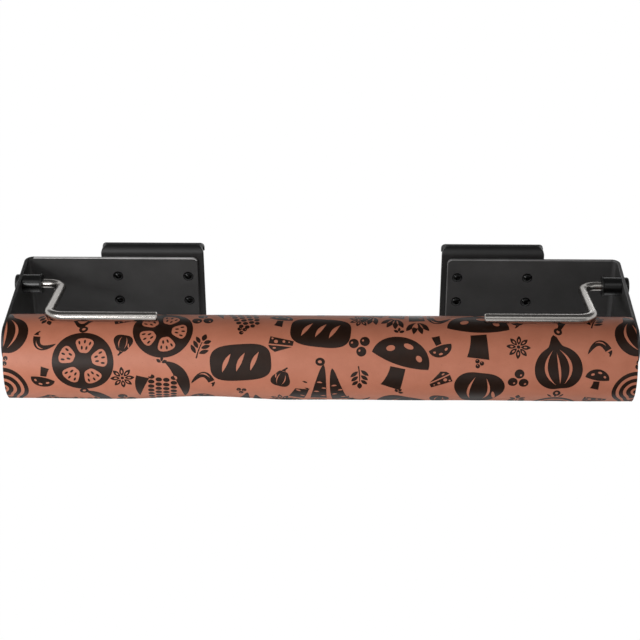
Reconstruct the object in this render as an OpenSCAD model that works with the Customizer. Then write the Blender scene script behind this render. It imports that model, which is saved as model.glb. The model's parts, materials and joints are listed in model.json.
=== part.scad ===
// Butcher paper dispenser: two mirrored sheet-steel brackets hang on a rail,
// carry a paper roll on short pegs and hold the sheet down with two bent rods.
// Millimetres. +X to the right, -Y towards the user, +Z up.
// The origin lies midway between the hooks, on the face and the top edge of the rail.

/* [Paper roll] */
// width of the paper, an 18 inch roll
roll_w = 457.2; // [280:0.1:610]
// outside diameter of the roll as wound
roll_d = 63; // [52:0.5:76]
// inside diameter of the cardboard core
core_bore_d = 38.1; // [30:0.1:42]
// wall of the cardboard core
core_wall = 2; // [1:0.1:3.5]
// step that the loose end of the outer wrap makes
wrap_step = 0.4; // [0.1:0.05:0.8]
// where the outer wrap is cut, degrees below the front
cut_angle = 47; // [20:1:70]

/* [Bracket sheet] */
// thickness of the bracket sheet
sheet_t = 2.5; // [1.5:0.1:4]
// clear space between the roll's end and the arm
side_gap = 1; // [0.5:0.1:4]
// height of the back plate
plate_h = 55; // [48:1:70]
// length of the back plate from the arm's inner face
plate_w = 132; // [115:1:150]
// radius of the back plate's free corners
plate_corner = 4; // [1:0.5:7]
// inside radius of the fold between plate and arm
fold_r = 4; // [2:0.5:8]
// distance from the back plate to the peg
arm_reach = 99; // [85:1:125]
// radius of the arm's round tip
tip_r = 14.25; // [11:0.25:18]

/* [Rail hook] */
// width of the rail hook
hook_w = 80; // [72:1:95]
// thickness of the rail hook's walls
hook_t = 3; // [2:0.1:4]
// height of the hook's top above the back plate
hook_rise = 8; // [6:0.5:14]
// slot that takes the rail
rail_slot = 7; // [6.5:0.5:12]
// height of the back lip, from the hook's top
lip_h = 8; // [7.5:0.5:16]
// length of the hook's wall below the back plate
wall_below = 4; // [2:0.5:15]
// overhang of the hook past the plate's free end
hook_over = 4.5; // [1:0.5:8]
// outside radius of the hook's two folds
hook_fold = 6; // [4.2:0.1:6.4]
// radius of the hook's corners in front view
hook_corner = 5.5; // [1:0.5:7]

/* [Hook screws] */
// spacing of the screws across
screw_dx = 55; // [40:1:60]
// spacing of the screws up and down
screw_dz = 22; // [16:1:30]
// upper row of screws below the plate's top edge
screw_drop = 16; // [10:0.5:20]
// thread diameter of the hook screws
screw_d = 4; // [3:0.5:5]
// diameter of the button heads
screw_head_d = 8; // [6.5:0.1:10]
// height of the button heads
screw_head_h = 2.4; // [1.8:0.1:3]
// hexagon socket, across flats
screw_hex = 2.5; // [2:0.1:3]

/* [Hold-down rod] */
// diameter of the rod
rod_d = 7; // [5:0.25:8]
// radius of the rod's two bends, on the centre line
rod_bend = 12; // [5.5:0.5:14]
// distance between the pivot axis and the run on the paper
leg_len = 76.5; // [60:0.5:85]
// distance of the leg from the arm's inner face
leg_in = 31; // [30:0.5:45]
// length of the run from the leg to its cut end
run_len = 80; // [40:0.5:110]
// chamfer on the rod's cut end
rod_chamfer = 0.8; // [0.2:0.1:1.2]

/* [Pivot] */
// pivot axis in front of the back plate
pivot_ahead = 27.3; // [24:0.1:40]
// pivot axis below the arm's top edge
pivot_drop = 7; // [6.5:0.1:12]
// outside diameter of the pivot boss
boss_d = 14; // [11.5:0.1:15]
// length of the pivot boss, inside the arm
boss_len = 13.5; // [8:0.5:15]
// diameter of the spigot that seats the boss in the arm
spigot_d = 10.5; // [10.2:0.1:11.2]
// outside diameter of the sleeve bearing
liner_d = 9; // [8.6:0.1:10]
// diameter of the sleeve bearing's flange
liner_flange_d = 15; // [10.4:0.1:16]
// thickness of the sleeve bearing's flange
liner_flange_t = 1.4; // [0.8:0.1:2]
// diameter of the end cap
cap_d = 14; // [11:0.1:15]
// height of the end cap
cap_h = 2.8; // [2.6:0.1:5]
// radius of the end cap's rim
cap_round = 1.3; // [0.5:0.1:2]
// how far the rod's end enters the cap
cap_seat = 1.6; // [1:0.1:2.3]

/* [Roll peg] */
// diameter of the peg that carries the core
peg_d = 12; // [9:0.5:16]
// length of the peg, inside the arm
peg_len = 30; // [18:1:45]
// chamfer on the peg's nose
peg_chamfer = 2; // [0.5:0.25:3]
// thread diameter of the peg screw
peg_screw_d = 5; // [4:0.5:6]
// diameter of the peg screw's head
peg_head_d = 9.5; // [8:0.1:12]
// height of the peg screw's head
peg_head_h = 2.7; // [2:0.1:3.2]
// hexagon socket of the peg screw, across flats
peg_hex = 3; // [2.5:0.1:4]
// length of thread in the peg
peg_thread = 14; // [8:1:16]

/* [Fits] */
// radial clearance of the rod in its bearing
rod_fit = 0.05; // [0.02:0.01:0.1]
// clearance between the core and the peg it hangs on
hang_gap = 0.3; // [0.2:0.05:0.6]
// clearance between the rod's run and the paper
rest_gap = 0.3; // [0.2:0.05:0.6]
// end play of the rod between arm and cap
cap_gap = 0.3; // [0.2:0.05:0.6]

/* [Hidden] */
$fn = 96;
ease = 1;                                   // cutters reach this far past a face
arm_in = roll_w / 2 + side_gap;             // inner face of the arm
arm_out = arm_in + sheet_t;                 // outer face of the arm
plate_front = -hook_t - sheet_t;            // front face of the back plate
plate_top = hook_t - hook_rise;             // top edge of plate and arm
plate_bottom = plate_top - plate_h;
plate_end = arm_in - plate_w;               // free end of the back plate
hook_end = plate_end - hook_over;           // free end of the rail hook
hook_mid = hook_end + hook_w / 2;
hook_bottom = plate_bottom - wall_below;
screw_mid_z = plate_top - screw_drop - screw_dz / 2;
peg_y = plate_front - arm_reach;
peg_z = plate_top - tip_r;
roll_y = peg_y;                             // the core hangs straight below the peg
roll_z = peg_z - core_bore_d / 2 + peg_d / 2 + hang_gap;
core_d = core_bore_d + 2 * core_wall;
pivot_y = plate_front - pivot_ahead;
pivot_z = plate_top - pivot_drop;
leg_x = arm_in - leg_in;
run_end = leg_x - run_len;
// The rod's slope at rest: a short leg sets the run down on the paper,
// and a leg that reaches past the tangent point lies on the paper itself.
axis_dy = pivot_y - roll_y;
axis_dz = roll_z - pivot_z;
axis_len = norm([axis_dy, axis_dz]);
run_orbit = roll_d / 2 + rest_gap + rod_d / 2;
tangent_len = sqrt(pow(axis_len, 2) - pow(run_orbit, 2));
leg_gap_angle = leg_len > tangent_len
    ? asin(run_orbit / axis_len)
    : acos((pow(axis_len, 2) + pow(leg_len, 2) - pow(run_orbit, 2)) / (2 * axis_len * leg_len));
leg_rise = atan2(axis_dz, axis_dy) + leg_gap_angle;

powder_black = [0.13, 0.13, 0.13];
moulded_black = [0.09, 0.09, 0.09];
screw_black = [0.05, 0.05, 0.05];
bright_steel = [0.76, 0.75, 0.73];
paper_peach = [0.77, 0.53, 0.44];
card_brown = [0.62, 0.48, 0.36];

// Turns a shape drawn in Y and Z into a solid that runs along +X.
module along_x(length) {
    rotate([90, 0, 90])
        linear_extrude(length)
            children();
}

// A round bar along +X, with its start on the given point.
module bar_x(start, length, d) {
    translate(start)
        rotate([0, 90, 0])
            cylinder(d = d, h = length);
}

// A rectangle from its lower left corner, with both upper corners rounded.
module round_top(w, h, r) {
    square([w, h - r]);
    translate([r, 0])
        square([w - 2 * r, h]);
    intersection() {
        for (a = [r, w - r])
            translate([a, h - r])
                circle(r);
        translate([0, h - r])
            square([w, r]);
    }
}

// A rectangle from its lower left corner, with all corners rounded.
module round_plate(w, h, r) {
    translate([r, 0])
        square([w - 2 * r, h]);
    translate([0, r])
        square([w, h - 2 * r]);
    for (a = [r, w - r], b = [r, h - r])
        translate([a, b])
            circle(r);
}

// The left side is the mirror image of the right side.
module left() {
    mirror([1, 0, 0])
        children();
}

// A shallow dome on the plane x = 0, rising along +X.
module dome(d, h) {
    ball = (pow(d / 2, 2) + pow(h, 2)) / (2 * h);
    rotate([0, 90, 0])
        intersection() {
            translate([0, 0, h - ball])
                sphere(ball);
            cylinder(d = d, h = h);
        }
}

// A button-head screw on the plane x = 0: head along +X, thread along -X.
module button_screw(d, length, head_d, head_h, hex) {
    difference() {
        union() {
            dome(head_d, head_h);
            bar_x([-length, 0, 0], length, d);
        }
        translate([head_h * 0.35, 0, 0])
            rotate([0, 90, 0])
                cylinder(d = hex / cos(30), h = head_h, $fn = 6);
    }
}

// Puts children at the four screw places, with +X turned to the front.
module at_hook_screws() {
    for (sx = [-1, 1], sz = [-1, 1])
        translate([hook_mid + sx * screw_dx / 2, plate_front, screw_mid_z + sz * screw_dz / 2])
            rotate([0, 0, -90])
                children();
}

// Side view of the arm: straight top edge, round tip, underside rising to the tip.
module arm_outline() {
    root = plate_front - fold_r;
    to_root = [root - peg_y, plate_bottom - peg_z];
    touch = atan2(to_root[1], to_root[0]) - acos(tip_r / norm(to_root));
    polygon([
        [root, plate_top],
        [peg_y, plate_top],
        [peg_y, peg_z],
        [peg_y + tip_r * cos(touch), peg_z + tip_r * sin(touch)],
        [root, plate_bottom]
    ]);
    translate([peg_y, peg_z])
        circle(tip_r);
}

// Back plate in front view, rounded at its free end only.
module plate_outline() {
    fold_start = arm_in - fold_r;
    translate([plate_end + plate_corner, plate_bottom])
        square([fold_start - plate_end - plate_corner, plate_h]);
    translate([plate_end, plate_bottom + plate_corner])
        square([2 * plate_corner, plate_h - 2 * plate_corner]);
    for (z = [plate_bottom + plate_corner, plate_top - plate_corner])
        translate([plate_end + plate_corner, z])
            circle(plate_corner);
}

module bracket() {
    color(powder_black)
    difference() {
        union() {
            translate([0, plate_front + sheet_t, 0])
                rotate([90, 0, 0])
                    linear_extrude(sheet_t)
                        plate_outline();
            translate([arm_in - fold_r, plate_front - fold_r, plate_bottom])
                rotate_extrude(angle = 90)
                    translate([fold_r, 0])
                        square([sheet_t, plate_h]);
            translate([arm_in, 0, 0])
                along_x(sheet_t)
                    arm_outline();
        }
        at_hook_screws()
            bar_x([-sheet_t - ease, 0, 0], sheet_t + 2 * ease, screw_d);
        bar_x([arm_in - ease, pivot_y, pivot_z], sheet_t + 2 * ease, spigot_d);
        bar_x([arm_in - ease, peg_y, peg_z], sheet_t + 2 * ease, peg_screw_d);
    }
}

// Side view of the rail hook: front wall, fold over the rail, back lip.
module hook_profile() {
    depth = 2 * hook_t + rail_slot;
    difference() {
        union() {
            translate([-hook_t, hook_t - lip_h])
                round_top(depth, lip_h, hook_fold);
            translate([-hook_t, hook_bottom])
                square([hook_t, -hook_bottom]);
        }
        translate([0, -lip_h])
            round_top(rail_slot, lip_h, hook_fold - hook_t);
    }
}

module hook() {
    color(powder_black)
    difference() {
        intersection() {
            translate([hook_end, 0, 0])
                along_x(hook_w)
                    hook_profile();
            translate([hook_end, hook_t + rail_slot + ease, hook_bottom])
                rotate([90, 0, 0])
                    linear_extrude(2 * hook_t + rail_slot + 2 * ease)
                        round_plate(hook_w, hook_t - hook_bottom, hook_corner);
        }
        at_hook_screws()
            bar_x([-sheet_t - hook_t - ease, 0, 0], hook_t + 2 * ease, screw_d);
    }
}

module hook_screws() {
    color(screw_black)
    at_hook_screws()
        button_screw(screw_d, sheet_t + hook_t, screw_head_d, screw_head_h, screw_hex);
}

module boss() {
    color(powder_black)
    difference() {
        union() {
            bar_x([arm_in - boss_len, pivot_y, pivot_z], boss_len, boss_d);
            bar_x([arm_in, pivot_y, pivot_z], sheet_t, spigot_d);
        }
        bar_x([arm_in - boss_len - ease, pivot_y, pivot_z], boss_len + sheet_t + 2 * ease, liner_d);
    }
}

module bearing() {
    color(moulded_black)
    difference() {
        union() {
            bar_x([arm_in - boss_len - liner_flange_t, pivot_y, pivot_z], liner_flange_t, liner_flange_d);
            bar_x([arm_in - boss_len, pivot_y, pivot_z], boss_len + sheet_t, liner_d);
        }
        bar_x([arm_in - boss_len - liner_flange_t - ease, pivot_y, pivot_z],
            boss_len + liner_flange_t + sheet_t + 2 * ease, rod_d + 2 * rod_fit);
    }
}

// A quarter bend of the rod in the plane z = 0, from +Y round to +X.
module rod_quarter() {
    rotate_extrude(angle = 90)
        translate([rod_bend, 0])
            circle(d = rod_d);
}

module rod() {
    outer_end = arm_out + cap_gap + cap_seat;
    pivot_start = leg_x + rod_bend;
    run_start = leg_x - rod_bend;
    color(bright_steel)
    translate([0, pivot_y, pivot_z])
        rotate([-leg_rise, 0, 0]) {
            bar_x([pivot_start, 0, 0], outer_end - pivot_start, rod_d);
            translate([pivot_start, -rod_bend, 0])
                rotate([0, 0, 90])
                    rod_quarter();
            translate([leg_x, -rod_bend, 0])
                rotate([90, 0, 0])
                    cylinder(d = rod_d, h = leg_len - 2 * rod_bend);
            translate([run_start, rod_bend - leg_len, 0])
                rotate([0, 0, -90])
                    rod_quarter();
            bar_x([run_end + rod_chamfer, -leg_len, 0], run_start - run_end - rod_chamfer, rod_d);
            translate([run_end, -leg_len, 0])
                rotate([0, 90, 0])
                    cylinder(d1 = rod_d - 2 * rod_chamfer, d2 = rod_d, h = rod_chamfer);
        }
}

// Half section of the end cap: a rounded rim, and the seat of the rod's end.
module cap_section() {
    difference() {
        union() {
            square([cap_d / 2, cap_h - cap_round]);
            square([cap_d / 2 - cap_round, cap_h]);
            translate([cap_d / 2 - cap_round, cap_h - cap_round])
                circle(cap_round);
        }
        translate([-ease, -ease])
            square([rod_d / 2 + ease, cap_seat + ease]);
    }
}

module cap() {
    color(moulded_black)
    translate([arm_out + cap_gap, pivot_y, pivot_z])
        rotate([0, 90, 0])
            rotate_extrude()
                cap_section();
}

module peg() {
    color(moulded_black)
    difference() {
        union() {
            bar_x([arm_in - peg_len + peg_chamfer, peg_y, peg_z], peg_len - peg_chamfer, peg_d);
            translate([arm_in - peg_len, peg_y, peg_z])
                rotate([0, 90, 0])
                    cylinder(d1 = peg_d - 2 * peg_chamfer, d2 = peg_d, h = peg_chamfer);
        }
        bar_x([arm_in - peg_thread, peg_y, peg_z], peg_thread + ease, peg_screw_d);
    }
}

module peg_screw() {
    color(screw_black)
    translate([arm_out, peg_y, peg_z])
        button_screw(peg_screw_d, sheet_t + peg_thread, peg_head_d, peg_head_h, peg_hex);
}

module roll_core() {
    color(card_brown)
    translate([-roll_w / 2, 0, 0])
        along_x(roll_w)
            translate([roll_y, roll_z])
                difference() {
                    circle(d = core_d);
                    circle(d = core_bore_d);
                }
}

// The outer wrap winds in by one step per turn: two half circles on shifted centres
// meet smoothly behind and leave the step at the cut edge in front.
module wrap_outline() {
    roll_r = roll_d / 2;
    rotate(cut_angle) {
        intersection() {
            circle(roll_r);
            translate([-roll_d, 0])
                square([2 * roll_d, roll_d]);
        }
        intersection() {
            translate([wrap_step / 2, 0])
                circle(roll_r - wrap_step / 2);
            translate([-roll_d, -roll_d])
                square([2 * roll_d, roll_d]);
        }
    }
}

module paper_roll() {
    color(paper_peach)
    translate([-roll_w / 2, 0, 0])
        along_x(roll_w)
            translate([roll_y, roll_z])
                difference() {
                    wrap_outline();
                    circle(d = core_d);
                }
}

module left_bracket() { left() bracket(); }
module left_hook() { left() hook(); }
module left_hook_screws() { left() hook_screws(); }
module left_boss() { left() boss(); }
module left_bearing() { left() bearing(); }
module left_rod() { left() rod(); }
module left_cap() { left() cap(); }
module left_peg() { left() peg(); }
module left_peg_screw() { left() peg_screw(); }

paper_roll();
roll_core();
left_bracket();
left_hook();
left_hook_screws();
left_boss();
left_bearing();
left_rod();
left_cap();
left_peg();
left_peg_screw();
bracket();  // right_bracket
hook();  // right_hook
hook_screws();  // right_hook_screws
boss();  // right_boss
bearing();  // right_bearing
rod();  // right_rod
cap();  // right_cap
peg();  // right_peg
peg_screw();  // right_peg_screw
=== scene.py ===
import bpy
import bmesh
import json
import random
from math import acos, atan2, copysign, cos, exp, hypot, pi, radians, sin
from mathutils import Matrix, Vector


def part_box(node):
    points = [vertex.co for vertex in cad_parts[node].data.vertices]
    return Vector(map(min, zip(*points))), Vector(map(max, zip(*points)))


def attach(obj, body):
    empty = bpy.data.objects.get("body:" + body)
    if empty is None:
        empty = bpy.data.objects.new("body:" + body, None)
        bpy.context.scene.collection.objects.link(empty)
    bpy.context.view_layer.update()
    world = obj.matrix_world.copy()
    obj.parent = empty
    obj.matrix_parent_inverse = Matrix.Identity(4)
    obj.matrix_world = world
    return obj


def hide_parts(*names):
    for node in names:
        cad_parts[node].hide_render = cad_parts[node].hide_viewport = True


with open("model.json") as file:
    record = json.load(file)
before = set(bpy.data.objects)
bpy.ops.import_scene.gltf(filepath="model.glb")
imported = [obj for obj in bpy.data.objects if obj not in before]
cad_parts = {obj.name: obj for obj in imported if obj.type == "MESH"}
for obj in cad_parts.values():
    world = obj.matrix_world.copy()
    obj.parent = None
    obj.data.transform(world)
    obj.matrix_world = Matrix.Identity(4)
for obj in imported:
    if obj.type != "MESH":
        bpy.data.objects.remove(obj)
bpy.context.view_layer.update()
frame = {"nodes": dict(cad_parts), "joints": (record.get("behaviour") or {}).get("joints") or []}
scene = bpy.context.scene
nodes = frame["nodes"]
joints = {joint["name"]: joint for joint in frame["joints"]}
mm = 0.001
cutSlack = 1e-7  # a cut this near to a corner goes through it
sideSign = {"left": -1, "right": 1}
rollAxis = Vector(joints["roll_spin"]["pos_m"])  # the roll turns about +X through this point
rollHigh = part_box("paper_roll")[1]
coreLow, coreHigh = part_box("roll_core")
halfWidth = rollHigh.x
coreRadius = (coreHigh.z - coreLow.z) / 2
rollRadius = rollHigh.z - rollAxis.z
print("frame loaded:", len(nodes), "nodes")


# Helpers for objects and meshes

def addObject(name, data):
    made = bpy.data.objects.new(name, data)
    scene.collection.objects.link(made)
    return made


def linkPiece(name, mesh, body, slot, *replaced):
    piece = addObject(name, mesh)
    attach(piece, body)
    if replaced:
        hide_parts(*replaced)
    return piece


def meshFrom(name, bm, *materials):
    mesh = bpy.data.meshes.new(name)
    bm.to_mesh(mesh)
    bm.free()
    for material in materials:
        mesh.materials.append(material)
    return mesh


def takeMesh(carrier):
    graph = bpy.context.evaluated_depsgraph_get()
    mesh = bpy.data.meshes.new_from_object(carrier.evaluated_get(graph))
    bpy.data.objects.remove(carrier)
    return mesh


def smoothFaces(bm):
    for face in bm.faces:
        face.smooth = True


def markSharp(bm, angle):
    for edge in bm.edges:
        edge.smooth = not edge.is_manifold or edge.calc_face_angle() < angle


def cutAt(bm, point, normal, **clear):
    bmesh.ops.bisect_plane(bm, geom=bm.verts[:] + bm.edges[:] + bm.faces[:], plane_co=point,
                           plane_no=normal, dist=cutSlack, **clear)


def sidePiece(side, part, slot, bm, *finishes):
    node = side + "_" + part
    smoothFaces(bm)
    piece = linkPiece(side + part.capitalize(), meshFrom(node, bm, *finishes), side + "_side", slot, node)
    piece.modifiers.new("even", "WEIGHTED_NORMAL").keep_sharp = True


def smoothStep(t):
    t = min(1.0, max(0.0, t))
    return t * t * (3 - 2 * t)


def humpAt(offset, half):
    share = abs(offset) / half
    return (cos(pi * share) + 1) / 2 if share < 1 else 0.0


# Helpers for node trees

def addNode(tree, kind, values=None, **settings):
    made = tree.nodes.new(kind)
    for key, value in settings.items():
        setattr(made, key, value)
    for key, value in (values or {}).items():  # a value, or the output of another node
        if isinstance(value, bpy.types.NodeSocket):
            tree.links.new(value, made.inputs[key])
        else:
            made.inputs[key].default_value = value
    return made


def mathNode(tree, operation, *terms):
    return addNode(tree, "ShaderNodeMath", dict(enumerate(terms)), operation=operation).outputs[0]


def newMaterial(name):
    material = bpy.data.materials.new(name)
    material.use_nodes = True
    tree = material.node_tree
    return material, tree, tree.nodes["Principled BSDF"]


def objectPlace(tree, scale=(1, 1, 1), centre=(0, 0, 0)):
    place = addNode(tree, "ShaderNodeTexCoord").outputs["Object"]
    shift = [-c * s for c, s in zip(centre, scale)]
    return addNode(tree, "ShaderNodeMapping", {"Vector": place, "Scale": scale, "Location": shift}).outputs[0]


def noise(tree, place, scale, detail=2.0, roughness=0.5):
    values = {"Vector": place, "Scale": scale, "Detail": detail, "Roughness": roughness}
    return addNode(tree, "ShaderNodeTexNoise", values).outputs["Fac"]


def ramp(tree, source, *stops):
    made = addNode(tree, "ShaderNodeValToRGB", {"Fac": source})
    elements = made.color_ramp.elements
    while len(elements) < len(stops):
        elements.new(0.5)
    for element, (position, colour) in zip(elements, stops):
        element.position = position
        element.color = (*colour, 1)
    return made.outputs["Color"]


def twoTone(tree, source, tones, low=0.3, high=0.7):
    return ramp(tree, source, (low, tones["dark"]), (high, tones["light"]))


def spread(tree, source, low, high, fromLow=0.0, fromHigh=1.0):
    values = {"Value": source, "From Min": fromLow, "From Max": fromHigh, "To Min": low, "To Max": high}
    return addNode(tree, "ShaderNodeMapRange", values).outputs["Result"]


def blendColour(tree, share, first, second):
    return addNode(tree, "ShaderNodeMix", {0: share, 6: first, 7: second}, data_type="RGBA").outputs[2]


def setFinish(tree, shader, colour, rough, sheen=0.5, metal=0.0):
    tree.links.new(colour, shader.inputs["Base Color"])
    if isinstance(rough, float):
        shader.inputs["Roughness"].default_value = rough
    else:
        tree.links.new(rough, shader.inputs["Roughness"])
    shader.inputs["Specular IOR Level"].default_value = sheen
    shader.inputs["Metallic"].default_value = metal


def bump(tree, shader, height, distance, strength):
    made = addNode(tree, "ShaderNodeBump", {"Height": height, "Strength": strength, "Distance": distance})
    tree.links.new(made.outputs[0], shader.inputs["Normal"])


def newTree(name, sockets):
    tree = bpy.data.node_groups.new(name, "GeometryNodeTree")
    tree.is_modifier = True
    tree.interface.new_socket("Geometry", in_out="INPUT", socket_type="NodeSocketGeometry")
    for label, kind in sockets.items():
        tree.interface.new_socket(label, in_out="INPUT", socket_type="NodeSocket" + kind)
    tree.interface.new_socket("Geometry", in_out="OUTPUT", socket_type="NodeSocketGeometry")
    return tree, addNode(tree, "NodeGroupInput"), addNode(tree, "NodeGroupOutput")


def endTree(tree, geometry, finish, outside):
    real = addNode(tree, "GeometryNodeRealizeInstances", {0: geometry}).outputs[0]
    dressed = addNode(tree, "GeometryNodeSetMaterial", {"Geometry": real, "Material": finish}).outputs[0]
    tree.links.new(dressed, outside.inputs[0])


def bakeTree(name, start, tree, values):
    carrier = addObject(name, start)
    modifier = carrier.modifiers.new(name, "NODES")
    modifier.node_group = tree
    for item in tree.interface.items_tree:
        if item.in_out == "INPUT" and item.name in values:
            modifier[item.identifier] = values[item.name]
    mesh = takeMesh(carrier)
    mesh.name = name
    return mesh


# Finishes of the metal and moulded parts

powderCoat = {
    "cloud": (40, 4), "grain": (2400, 2), "depth": 0.03 * mm, "strength": 0.5, "warmth": (1, 0.985, 0.98)}
smallGrain = {"depth": 0.012 * mm, "strength": 0.4, "warmth": (1, 1, 1)}
coats = {
    "powderPlate": {"dark": 0.039, "light": 0.054, "rough": (0.36, 0.48), "sheen": 0.33},
    "powderHook": {"dark": 0.006, "light": 0.011, "rough": (0.46, 0.58), "sheen": 0.45},
    "powderBoss": {"dark": 0.005, "light": 0.009, "rough": (0.20, 0.28), "sheen": 0.40},
    # cut edges, painted light: lit and shaded copies of one coat; each plate's top edge is a painted
    # highlight, the left plate's brightest; the left bracket's other cut edges are painted dark as shade, the
    # right bracket's lighter as lit
    "leftEdge": {"dark": 0.012, "light": 0.024, "rough": (0.34, 0.46), "sheen": 0.4},
    "leftTop": {"dark": 0.50, "light": 0.76, "rough": (0.30, 0.42), "sheen": 0.5},
    "rightEdge": {"dark": 0.10, "light": 0.18, "rough": (0.30, 0.42), "sheen": 0.5},
    "rightTop": {"dark": 0.16, "light": 0.26, "rough": (0.30, 0.42), "sheen": 0.5},
    "mouldedBlack": {"dark": 0.008, "light": 0.014, "rough": (0.36, 0.48), "sheen": 0.25,
                     "cloud": (900, 3), "grain": (900, 3), **smallGrain},
    "screwBlack": {"dark": 0.002, "light": 0.004, "rough": (0.05, 0.08), "sheen": 0.13,
                   "cloud": (500, 3), "grain": (500, 3), **smallGrain},
}


def makeCoat(name):
    tone = {**powderCoat, **coats[name]}
    material, tree, shader = newMaterial(name)
    place = objectPlace(tree)
    cloud, grain = (noise(tree, place, *tone[key]) for key in ("cloud", "grain"))
    tones = {key: [tone[key] * c for c in tone["warmth"]] for key in ("dark", "light")}
    setFinish(tree, shader, twoTone(tree, cloud, tones), spread(tree, grain, *tone["rough"]), tone["sheen"])
    bump(tree, shader, grain, tone["depth"], tone["strength"])
    return material


coat = {name: makeCoat(name) for name in coats}

drawnSteel = {
    "dark": (0.33, 0.312, 0.293), "light": (0.43, 0.412, 0.39), "rough": (0.20, 0.30),
    "linesAround": 70, "linesAlong": 55, "lineDetail": 4, "lineRoughness": 0.65,
    "lineDepth": 0.006 * mm, "lineStrength": 0.5,
}


def makeSteel():
    material, tree, shader = newMaterial("drawnSteel")
    along, around = (addNode(tree, "ShaderNodeAttribute", attribute_name=label).outputs["Fac"]
                     for label in ("alongRod", "roundRod"))
    turn = mathNode(tree, "MULTIPLY", around, 2 * pi)
    reach = drawnSteel["linesAround"] / (2 * pi)
    place = {0: mathNode(tree, "MULTIPLY", along, drawnSteel["linesAlong"])}
    for axis, wave in ((1, "COSINE"), (2, "SINE")):
        place[axis] = mathNode(tree, "MULTIPLY", mathNode(tree, wave, turn), reach)
    lines = noise(tree, addNode(tree, "ShaderNodeCombineXYZ", place).outputs[0], 1.0,
                  drawnSteel["lineDetail"], drawnSteel["lineRoughness"])
    rough = spread(tree, lines, *drawnSteel["rough"])
    setFinish(tree, shader, twoTone(tree, lines, drawnSteel), rough, metal=1.0)
    bump(tree, shader, lines, drawnSteel["lineDepth"], drawnSteel["lineStrength"])
    return material


rodSteel = makeSteel()
print("metal and moulded finishes ready")


# Finishes of the paper and its core

paperStock = {
    "pale": (0.60, 0.210, 0.122), "mid": (0.55, 0.184, 0.102), "deep": (0.50, 0.160, 0.086),
    "fleck": (0.28, 0.080, 0.04), "rough": (0.48, 0.60), "sheen": 0.62, "toneAt": (0.25, 0.5, 0.75),
    "cloudScale": 60, "fleckScale": 900, "fibreScale": (260, 2200, 2200),
    "fibreDepth": 0.03 * mm, "fibreStrength": 0.5,
    # share from and to, between these values of the noise
    "streak": (0.0, 0.30, 0.45, 0.8), "spot": (0.0, 0.55, 0.70, 0.76),
}
layerEdges = {
    "dark": (0.36, 0.15, 0.10), "light": (0.62, 0.33, 0.235), "toneAt": (0.32, 0.62), "rough": 0.85,
    "pitch": 0.28 * mm, "depth": 0.10 * mm, "strength": 0.7, "patchScale": 220, "patchShare": 0.35,
}
printInk = {
    "dark": (0.014, 0.0052, 0.0022), "light": (0.024, 0.0090, 0.0040), "toneAt": (0.3, 0.75),
    "rough": (0.32, 0.45), "sheen": 0.21, "cloudScale": 150, "fibreStrength": 0.4,
}
coreCard = {
    "dark": (0.23, 0.145, 0.085), "light": (0.36, 0.245, 0.155), "rough": 0.88,
    "seamPitch": 70 * mm, "seamShare": 0.012, "seamShade": 0.6,
    "grainScale": 700, "grainDepth": 0.05 * mm, "grainStrength": 0.5,
}


def fibres(tree):
    return noise(tree, objectPlace(tree, paperStock["fibreScale"]), 1.0, 4, 0.6)


def makePaper():
    material, tree, shader = newMaterial("paperPeach")
    place = objectPlace(tree)
    cloud = noise(tree, place, paperStock["cloudScale"], 5, 0.6)
    fleck = noise(tree, place, paperStock["fleckScale"])
    fibre = fibres(tree)
    tones = [paperStock[key] for key in ("deep", "mid", "pale")]
    tone = ramp(tree, cloud, *zip(paperStock["toneAt"], tones))
    streaked = blendColour(tree, spread(tree, fibre, *paperStock["streak"]), tone, (*paperStock["pale"], 1))
    spotted = blendColour(tree, spread(tree, fleck, *paperStock["spot"]), streaked, (*paperStock["fleck"], 1))
    setFinish(tree, shader, spotted, spread(tree, fibre, *paperStock["rough"]), paperStock["sheen"])
    bump(tree, shader, fibre, paperStock["fibreDepth"], paperStock["fibreStrength"])
    return material


def makeLayerEdges():
    material, tree, shader = newMaterial("paperEdges")
    centre = objectPlace(tree, (0, 1, 1), rollAxis)
    reach = addNode(tree, "ShaderNodeVectorMath", {0: centre}, operation="LENGTH").outputs["Value"]
    layer = mathNode(tree, "MULTIPLY", reach, 1 / layerEdges["pitch"])
    stripe = addNode(tree, "ShaderNodeTexNoise", {"W": layer, "Scale": 1.0, "Detail": 2.0},
                     noise_dimensions="1D").outputs["Fac"]
    patches = noise(tree, objectPlace(tree), layerEdges["patchScale"], 3)
    plain = mathNode(tree, "MULTIPLY", stripe, 1 - layerEdges["patchShare"])
    share = mathNode(tree, "MULTIPLY_ADD", patches, layerEdges["patchShare"], plain)
    setFinish(tree, shader, twoTone(tree, share, layerEdges, *layerEdges["toneAt"]), layerEdges["rough"])
    bump(tree, shader, stripe, layerEdges["depth"], layerEdges["strength"])
    return material


def makeInk():
    material, tree, shader = newMaterial("printInk")
    cloud = noise(tree, objectPlace(tree), printInk["cloudScale"], 5, 0.65)
    fibre = fibres(tree)
    setFinish(tree, shader, twoTone(tree, cloud, printInk, *printInk["toneAt"]),
              spread(tree, fibre, *printInk["rough"]), printInk["sheen"])
    bump(tree, shader, fibre, paperStock["fibreDepth"], printInk["fibreStrength"])
    return material


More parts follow.
